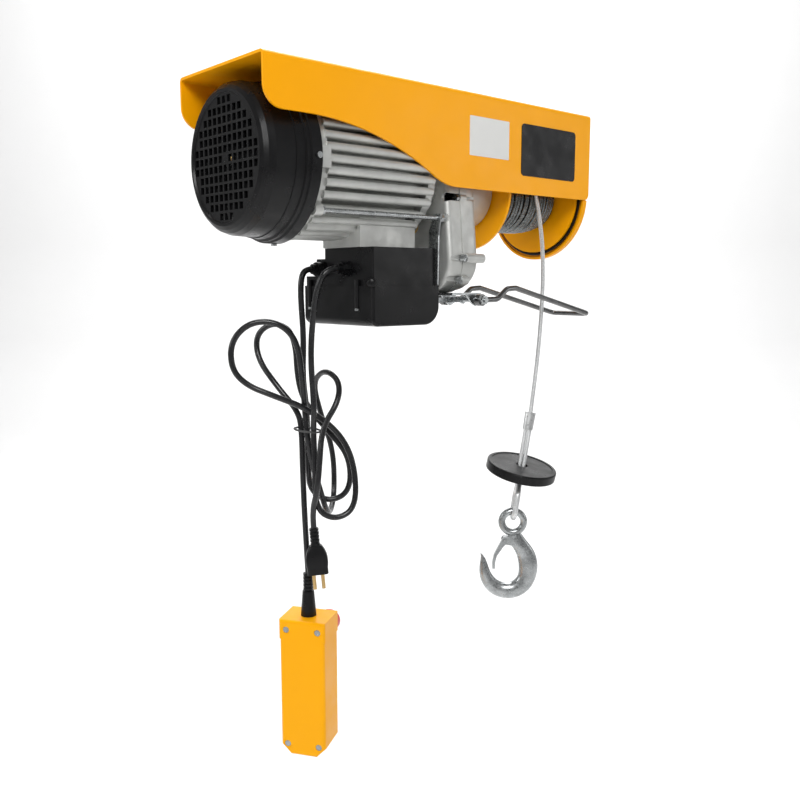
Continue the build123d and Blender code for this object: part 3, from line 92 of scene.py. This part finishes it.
def tones(nt, value, stops):
    """Colour ramp from (position, colour) stops."""
    node = nt.nodes.new("ShaderNodeValToRGB")
    ramp = node.color_ramp
    while len(ramp.elements) < len(stops):
        ramp.elements.new(0.5)
    for element, (place, colour) in zip(ramp.elements, stops):
        element.position = place
        element.color = (*colour, 1.0)
    nt.links.new(value, node.inputs["Fac"])
    return node.outputs["Color"]


def bump(nt, shader, height, distance, after=None):
    """Bump on the shader's normal, on top of an earlier one."""
    node = nt.nodes.new("ShaderNodeBump")
    node.inputs["Strength"].default_value = 1.0
    node.inputs["Distance"].default_value = distance
    nt.links.new(height, node.inputs["Height"])
    if after:
        nt.links.new(after, node.inputs["Normal"])
    nt.links.new(node.outputs["Normal"], shader.inputs["Normal"])
    return node.outputs["Normal"]


def worn(colour, share):
    """A colour scaled lighter or darker."""
    return tuple(min(1.0, c * share) for c in colour)


def surface(name, colour, rough, metal=0.0, vary=0.08, grain=900.0, depth=0.00006, coat=0.0,
            blotch=9.0, stretch=None, rough_vary=0.08, coarse=None, specular=0.5):
    """General finish: blotchy colour, uneven roughness, and fine and coarse bump."""
    material, nt, shader, where = tree(name)
    cloud = noise(nt, where, blotch)
    nt.links.new(tones(nt, cloud, [(0.3, worn(colour, 1 - vary)), (0.7, worn(colour, 1 + vary))]),
                 shader.inputs["Base Color"])
    smear = noise(nt, where, blotch * 5.0, stretch=stretch)
    nt.links.new(spread(nt, smear, rough - rough_vary, rough + rough_vary), shader.inputs["Roughness"])
    shader.inputs["Metallic"].default_value = metal
    shader.inputs["Specular IOR Level"].default_value = specular
    shader.inputs["Coat Weight"].default_value = coat
    shader.inputs["Coat Roughness"].default_value = 0.18
    first = None
    if coarse:
        first = bump(nt, shader, noise(nt, where, coarse[0], detail=2.0), coarse[1])
    bump(nt, shader, noise(nt, where, grain, detail=3.0, stretch=stretch), depth, after=first)
    return material


ORANGE = (0.96, 0.40, 0.0008)
YELLOW = (0.97, 0.42, 0.0008)
finishes = {
    "orange_paint": surface("orange_paint", ORANGE, 0.36, vary=0.03, grain=420.0, depth=0.00003,
                            coat=0.12, coarse=(60.0, 0.0002), specular=0.14),
    "yellow_plastic": surface("yellow_plastic", YELLOW, 0.36, vary=0.03, grain=1500.0, depth=0.00002,
                              coat=0.08, coarse=(40.0, 0.0002), specular=0.12),
    "cast_aluminium": surface("cast_aluminium", (0.56, 0.565, 0.545), 0.50, metal=0.70, vary=0.12,
                              grain=1200.0, depth=0.00006, blotch=24.0, coarse=(120.0, 0.00003)),
    "black_plastic": surface("black_plastic", (0.0045, 0.0045, 0.005), 0.33, vary=0.25, grain=1100.0,
                             depth=0.00003, coarse=(55.0, 0.00008), specular=0.26),
    "cord_rubber": surface("cord_rubber", (0.010, 0.010, 0.011), 0.26, vary=0.25, grain=900.0,
                           depth=0.00002, coarse=(120.0, 0.0002), specular=0.5),
    "tie_plastic": surface("tie_plastic", (0.05, 0.05, 0.05), 0.5, vary=0.15),
    "white_label": surface("white_label", (0.74, 0.74, 0.72), 0.42, vary=0.03, grain=1500.0,
                           depth=0.00001, specular=0.3),
    "black_label": surface("black_label", (0.007, 0.007, 0.008), 0.32, vary=0.15, grain=1500.0,
                           depth=0.00001, specular=0.2),
    "zinc_steel": surface("zinc_steel", (0.40, 0.415, 0.42), 0.30, metal=0.95, vary=0.26, grain=260.0,
                          depth=0.000008, blotch=70.0, rough_vary=0.10),
    "dark_steel": surface("dark_steel", (0.15, 0.15, 0.15), 0.22, metal=0.95, vary=0.16, grain=300.0,
                          depth=0.000005, blotch=60.0, stretch=(0.15, 1.0, 1.0)),
    "crimped_aluminium": surface("crimped_aluminium", (0.70, 0.71, 0.71), 0.34, metal=0.85, vary=0.10,
                                 grain=200.0, depth=0.000004, blotch=60.0),
    "gear_steel": surface("gear_steel", (0.42, 0.42, 0.43), 0.34, metal=0.9, vary=0.12, grain=500.0,
                          depth=0.00003, stretch=(1.0, 8.0, 8.0)),
    "copper": surface("copper", (0.55, 0.22, 0.09), 0.38, metal=0.8, vary=0.2, grain=900.0,
                      depth=0.0001),
    "bronze": surface("bronze", (0.62, 0.42, 0.18), 0.3, metal=0.9, vary=0.12, depth=0.00003),
    "capacitor_shell": surface("capacitor_shell", (0.72, 0.72, 0.70), 0.45, vary=0.05),
    "red_plastic": surface("red_plastic", (0.70, 0.018, 0.012), 0.28, vary=0.06, grain=900.0,
                           depth=0.00002, coat=0.2),
}


def wires(name, dark, bright, rough):
    """Galvanised wires: a bright and dark weave in colour and bump."""
    material, nt, shader, where = tree(name)
    fleck = noise(nt, where, 1100.0, detail=2.0)
    nt.links.new(tones(nt, fleck, [(0.36, dark), (0.64, bright)]), shader.inputs["Base Color"])
    smear = noise(nt, where, 70.0)
    nt.links.new(spread(nt, smear, rough - 0.06, rough + 0.08), shader.inputs["Roughness"])
    shader.inputs["Metallic"].default_value = 0.88
    bump(nt, shader, noise(nt, where, 1300.0, detail=1.0), 0.00008)
    return material


# one rope in two copies of colour: wire_rope, much darker, is painted shade on the rope wound on the
# drum; the lighter second copy is the lit rope, for the hanging rope, its eye and its tail
finishes["wire_rope"] = wires("wire_rope", (0.03, 0.032, 0.032), (0.26, 0.275, 0.275), 0.22)
finishes["wire_rope_lit"] = wires("wire_rope_lit", (0.60, 0.61, 0.61), (0.92, 0.93, 0.93), 0.38)
slot_of = {s["node"]: s["material_slot"] for s in frame["record"]["subparts"]}
lit_rope = ("rope_tail", "rope_eye")
for name, node in nodes.items():
    node.data.materials.clear()
    node.data.materials.append(finishes["wire_rope_lit" if name in lit_rope else slot_of[name]])


# ---------------------------------------------------------------- mesh helpers
def mesh_piece(name, verts, faces, slot_name, body, finish=None):
    """Mesh object in metres that rides on a body and takes a record slot's finish."""
    mesh = bpy.data.meshes.new(name)
    mesh.from_pydata(verts, [], faces)
    mesh.polygons.foreach_set("use_smooth", [True] * len(mesh.polygons))
    mesh.update()
    piece = bpy.data.objects.new(name, mesh)
    bpy.context.scene.collection.objects.link(piece)
    mesh.materials.append(finishes[finish or slot_name])
    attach(piece, body)
    return piece


def route_curve(name, points, radius):
    """Smooth cord: one NURBS spline with the route's points as its control points."""
    curve = bpy.data.curves.new(name, "CURVE")
    curve.dimensions = "3D"
    curve.resolution_u = 24
    curve.bevel_depth = radius
    curve.bevel_resolution = 6
    curve.use_fill_caps = True
    spline = curve.splines.new("NURBS")
    spline.points.add(len(points) - 1)
    for point, place in zip(spline.points, points):
        point.co = (*place, 1.0)
    spline.order_u = 3
    spline.use_endpoint_u = True
    piece = bpy.data.objects.new(name, curve)
    bpy.context.scene.collection.objects.link(piece)
    return piece


def centreline(points):
    """Points along the NURBS spline of a route."""
    guide = route_curve("guide", points, 0.0)
    bpy.context.view_layer.update()
    mesh = bpy.data.meshes.new_from_object(guide.evaluated_get(bpy.context.evaluated_depsgraph_get()))
    line = [v.co.copy() for v in mesh.vertices]
    bpy.data.objects.remove(guide)
    bpy.data.meshes.remove(mesh)
    return line


def run(line):
    """Length along a line."""
    return sum((b - a).length for a, b in zip(line, line[1:]))


def even(line, step):
    """The same line with points a set distance apart."""
    out = [line[0]]
    carried = 0.0
    for a, b in zip(line, line[1:]):
        span = (b - a).length
        while carried + span >= step and span > 0:
            a = a + (b - a) * ((step - carried) / span)
            out.append(a)
            span = (b - a).length
            carried = 0.0
        carried += span
    out.append(line[-1])
    return out


def stranded(name, line, radius, slot_name, body, strands=6, lay=0.034, ring=36, groove=0.13,
             finish=None):
    """Rope mesh along a line: a round bar whose surface winds in strands, one turn each lay."""
    verts, faces = [], []
    side = (line[1] - line[0]).orthogonal().normalized()
    travelled = 0.0
    for i, centre in enumerate(line):
        ahead = line[min(i + 1, len(line) - 1)] - line[max(i - 1, 0)]
        ahead.normalize()
        side = (side - ahead * side.dot(ahead)).normalized()
        up = ahead.cross(side)
        if i:
            travelled += (centre - line[i - 1]).length
        turn = 2 * pi * travelled / lay
        for k in range(ring):
            angle = 2 * pi * k / ring
            hump = abs(sin((angle - turn) * strands / 2))
            reach = radius * (1 - groove + groove * hump ** 0.6)
            verts.append(centre + (side * cos(angle) + up * sin(angle)) * reach)
    for i in range(len(line) - 1):
        for k in range(ring):
            a, b = i * ring + k, i * ring + (k + 1) % ring
            faces.append((a, b, b + ring, a + ring))
    faces.append(tuple(range(ring - 1, -1, -1)))
    faces.append(tuple(range((len(line) - 1) * ring, len(line) * ring)))
    return mesh_piece(name, verts, faces, slot_name, body, finish=finish)


# ---------------------------------------------------------------- cords
RIGHT = Vector((0.817, -0.576, 0.0))     # the way the row of loops runs
BACK = Vector((0.576, 0.817, 0.0))       # away from the front of the row
HOME = Vector((-136.0, 20.0, 0.0))       # where the cords hang, in mm


def hanging(points):
    """Points in mm for a route given as (right, back, z) from where the cords hang."""
    return [tuple(HOME + RIGHT * a + BACK * b + Vector((0, 0, z))) for a, b, z in points]


def metres(points):
    """The same points, from mm to metres."""
    return [tuple(c / 1000.0 for c in p) for p in points]


CONTROL = metres([(-119.1, 32, -204), (-128, 32, -204)] + hanging([
    (-6, 11, -213), (-7, 11, -236), (-4, 12, -285), (-6, 11, -330), (-2, 11, -365), (-1, 9.5, -400),
    # loop below the tie, then the inner loop above it
    (-1, 12, -440), (1, 16, -470), (25, 18, -485), (50, 16, -471), (49, 16, -428), (25, 16, -398),
    (2, 22, -372), (-12, 20, -342), (-14, 16, -280), (-37.5, 28, -265), (-61, 40, -280), (-60, 36, -310),
    (-36, 14, -342), (-11, 8, -372), (-8, 4, -396),
    # down to the pendant
    (-7.5, 3, -445), (-6, 1, -500), (-3, 0, -566),
]))
POWER = metres([(-119.1, -15, -204), (-128, -15, -204)] + hanging([
    (16, -26, -214), (9, -20, -240), (3, -10, -300), (7, -18, -364), (5.5, -7.5, -392), (7, -12, -430),
    # loop below the tie, then the outer loop above it
    (6.5, -11, -486), (31, -11, -500), (56, -5, -486), (54, 2, -432), (36, 6, -396), (0, -8, -366),
    (-40, -14, -349), (-70, -12, -337), (-87, -12, -318), (-87, -12, -286), (-65, -12, -264),
    (-33, -12, -264), (-11, -10, -286), (-6, -6, -335), (-4, 1, -365), (-2.5, -3.5, -392),
    # narrow loop behind, the small loop beside it, then down in front to the plug
    (3, -1, -430), (14, 4, -470), (20, 12, -494), (26, 38, -503), (32, 68, -485), (31, 69, -430),
    (16, 67, -385), (6, 66, -343), (20, 38, -324), (37, 12, -334), (36, -12, -356), (15.5, -14, -388),
    (12, -24, -430), (9, -28, -460), (3, -13.5, -487), (4.5, -13, -508),
]))
CORD_R = 0.0035
for name, points, far_end, attached in (
    ("control_cable", CONTROL, "object", ["cord_tie"]),
    ("power_cord", POWER, "plug", ["plug", "plug_pins"]),
):
    piece = route_curve(name + "_smooth", points, CORD_R)
    piece.data.materials.append(finishes["cord_rubber"])
    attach(piece, "hoist")
    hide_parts(name)
    run(centreline(points))

# hanging rope, drawn at one fixed length; the real one shortens with the hook's travel
ROPE_R = 0.00275         # over the strands' crowns
ROPE = metres([(184, -51, -105), (198, -51, -148), (203.5, -51, -212), (199.5, -51, -282),
               (191.5, -51, -345), (182.6, -51, -394.5)])
rope_line = centreline(ROPE)
rope = stranded("rope_fall_strands", even(rope_line, 0.0012), ROPE_R, "wire_rope", "hoist",
                finish="wire_rope_lit")
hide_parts("rope_fall")
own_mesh(rope)

# ---------------------------------------------------------------- rope on the drum
DRUM_Z = -0.105
LAID_R = 0.0026                      # rope on the drum
SIT = 0.0027                         # from the crown down to a turn's centre
FIRST_X, LAST_X = 0.1162, 0.2390     # the turns stay between the flanges
CORE_LEFT, CORE_RIGHT = 0.1135, 0.2410
# (x, outer radius) along the winding
PROFILE = [(0.1130, 0.0440), (0.1280, 0.0470), (0.1530, 0.0482), (0.1970, 0.0482), (0.2140, 0.0465),
           (0.2300, 0.0430), (0.2415, 0.0385)]


def crown(x):
    """Outer radius of the winding at x."""
    for (x1, r1), (x2, r2) in zip(PROFILE, PROFILE[1:]):
        if x <= x2:
            return r1 + (r2 - r1) * max(0.0, x - x1) / (x2 - x1)
    return PROFILE[-1][1]


def helix(first, last, turns, sink, wobble, phase):
    """One laid layer of rope: a helix that follows the winding's crown, not quite even."""
    line = []
    steps = int(turns * 60)
    for i in range(steps + 1):
        t = i / steps
        angle = 2 * pi * turns * t + phase
        x = first + (last - first) * t
        x += wobble * sin(angle * 0.37 + phase) + wobble * 0.6 * sin(angle * 1.13)
        x = min(max(x, FIRST_X), LAST_X)
        r = crown(x) - SIT - sink - 0.0004 * (1 + sin(angle * 0.53 + phase))
        line.append(Vector((x, -r * cos(angle), DRUM_Z - r * sin(angle))))
    return line


top_turns = helix(0.1168, 0.2380, turns=20.6, sink=0.0, wobble=0.0011, phase=0.0)
under_turns = helix(0.2380, 0.1170, turns=22.3, sink=0.0042, wobble=0.0005, phase=1.7)
# the turns take wire_rope, the darker copy of the rope's colour: painted shade
top_layer = stranded("winding_top", top_turns, LAID_R, "wire_rope", "drum", ring=18, lay=0.03)
stranded("winding_under", under_turns, LAID_R, "wire_rope", "drum", ring=14, lay=0.03)

# dark core under the turns: painted shade in the gaps between the turns, so that no gap shows through
BANDS, AROUND, CORE_SINK = 24, 64, 0.0075
core_verts, core_faces = [], []
for j in range(BANDS + 1):
    x = CORE_LEFT + (CORE_RIGHT - CORE_LEFT) * j / BANDS
    for k in range(AROUND):
        a = 2 * pi * k / AROUND
        r = crown(x) - CORE_SINK
        core_verts.append((x, r * cos(a), DRUM_Z + r * sin(a)))
for j in range(BANDS):
    for k in range(AROUND):
        a, b = j * AROUND + k, j * AROUND + (k + 1) % AROUND
        core_faces.append((a, b, b + AROUND, a + AROUND))
mesh_piece("winding_shade_core", core_verts, core_faces, "dark_steel", "drum")
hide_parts("rope_winding")


# ---------------------------------------------------------------- small pieces
def turned_piece(name, centre, axis, profile, slot_name, body, around=40):
    """Round piece turned about an axis from (distance along, radius) pairs."""
    axis = Vector(axis).normalized()
    side = axis.orthogonal().normalized()
    up = axis.cross(side)
    verts = []
    for along, radius in profile:
        for k in range(around):
            a = 2 * pi * k / around
            verts.append(Vector(centre) + axis * along + (side * cos(a) + up * sin(a)) * radius)
    faces = []
    for j in range(len(profile) - 1):
        for k in range(around):
            a, b = j * around + k, j * around + (k + 1) % around
            faces.append((a, b, b + around, a + around))
    faces.append(tuple(range(around - 1, -1, -1)))
    faces.append(tuple(range((len(profile) - 1) * around, len(profile) * around)))
    return mesh_piece(name, verts, faces, slot_name, body)


seam_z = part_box("box_lid")[1][2]
base_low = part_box("box_base")[0]
knob_at = (base_low[0] + 0.004, base_low[1] + 0.001, seam_z + 0.004)     # on the box's front corner
turned_piece("box_lock_knob", knob_at, (-0.7, -0.7, 0),
             [(-0.004, 0.0052), (0.0035, 0.0052), (0.0052, 0.0046), (0.006, 0.003)],
             "black_plastic", "hoist")
# dark ring on the end plate's inner face by the drum flange's rim: painted shade in the gap between the
# flange and the end plate
plate_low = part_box("end_plate")[0]
turned_piece("end_plate_shade_ring", (plate_low[0], 0.0, DRUM_Z), (-1, 0, 0),
             [(-0.0004, 0.0722), (0.0006, 0.0724), (0.0009, 0.0731), (0.0009, 0.0752), (0.0006, 0.0759),
              (-0.0004, 0.0761)], "black_plastic", "hoist", around=120)
FAN_NUT_AT = (-0.2445, 0.0, -0.0927)     # on the motor's axis
turned_piece("fan_nut", FAN_NUT_AT, (-1, 0, 0),
             [(-0.004, 0.0065), (0.001, 0.0065), (0.0022, 0.0058), (0.0026, 0.0035)], "bronze", "rotor")

# ---------------------------------------------------------------- stage, light, camera
floor_mesh = bpy.data.meshes.new("floor")
# (away from the camera, up) along the floor and up the backdrop
SWEEP = ((-6.0, -1.15), (1.6, -1.15), (2.3, -1.08), (2.9, -0.88), (3.25, -0.5), (3.4, 0.0), (3.45, 4.5))
HALF_WIDTH = 7.0
FACE_CAMERA = Matrix.Rotation(-0.722, 3, "Z")
floor_verts = [tuple(FACE_CAMERA @ Vector((x, y, z)))
               for y, z in SWEEP for x in (-HALF_WIDTH, HALF_WIDTH)]
floor_faces = [(2 * i, 2 * i + 1, 2 * i + 3, 2 * i + 2) for i in range(len(SWEEP) - 1)]
floor_mesh.from_pydata(floor_verts, [], floor_faces)
floor_mesh.polygons.foreach_set("use_smooth", [True] * len(floor_mesh.polygons))
floor = bpy.data.objects.new("floor", floor_mesh)
bpy.context.scene.collection.objects.link(floor)
floor_mesh.materials.append(surface("pale_floor", (0.86, 0.86, 0.86), 0.8, vary=0.004, grain=300.0))

world = bpy.data.worlds.new("studio")
bpy.context.scene.world = world
world.use_nodes = True
world.node_tree.nodes["Background"].inputs["Color"].default_value = (1.0, 1.0, 1.0, 1.0)
world.node_tree.nodes["Background"].inputs["Strength"].default_value = 0.30
bpy.context.scene.view_settings.view_transform = "Standard"


def area(name, place, aim, size, power):
    """Soft square light aimed at a point."""
    light = bpy.data.lights.new(name, "AREA")
    light.size = size
    light.energy = power
    lamp = bpy.data.objects.new(name, light)
    lamp.location = place
    lamp.rotation_euler = (Vector(aim) - Vector(place)).to_track_quat("-Z", "Y").to_euler()
    bpy.context.scene.collection.objects.link(lamp)


area("key", (-1.5, -1.7, 1.2), aim=(0.0, 0.0, -0.3), size=1.0, power=42.0)
area("fill_right", (1.6, -1.6, 0.1), aim=(0.1, 0.0, -0.2), size=0.8, power=4.0)
area("rim_left", (-1.9, 0.7, 0.3), aim=(-0.1, 0.0, -0.2), size=0.7, power=9.0)
area("backdrop_light", (1.2, 1.2, 2.4), aim=(1.7, 2.0, -0.7), size=2.6, power=125.0)

CAMERA_AT = Vector((-0.7199, -0.8069, -0.2203))
CAMERA_WAY = Vector((0.6548, 0.7438, -0.1341)).normalized()
right = CAMERA_WAY.cross(Vector((0, 0, 1))).normalized()
up = right.cross(CAMERA_WAY)
camera_data = bpy.data.cameras.new("camera")
camera_data.sensor_width = 36.0
camera_data.lens = 38.85
camera_data.clip_start = 0.02
camera = bpy.data.objects.new("camera", camera_data)
camera.matrix_world = Matrix((
    (right.x, up.x, -CAMERA_WAY.x, CAMERA_AT.x),
    (right.y, up.y, -CAMERA_WAY.y, CAMERA_AT.y),
    (right.z, up.z, -CAMERA_WAY.z, CAMERA_AT.z),
    (0, 0, 0, 1),
))
bpy.context.scene.collection.objects.link(camera)
bpy.context.scene.camera = camera
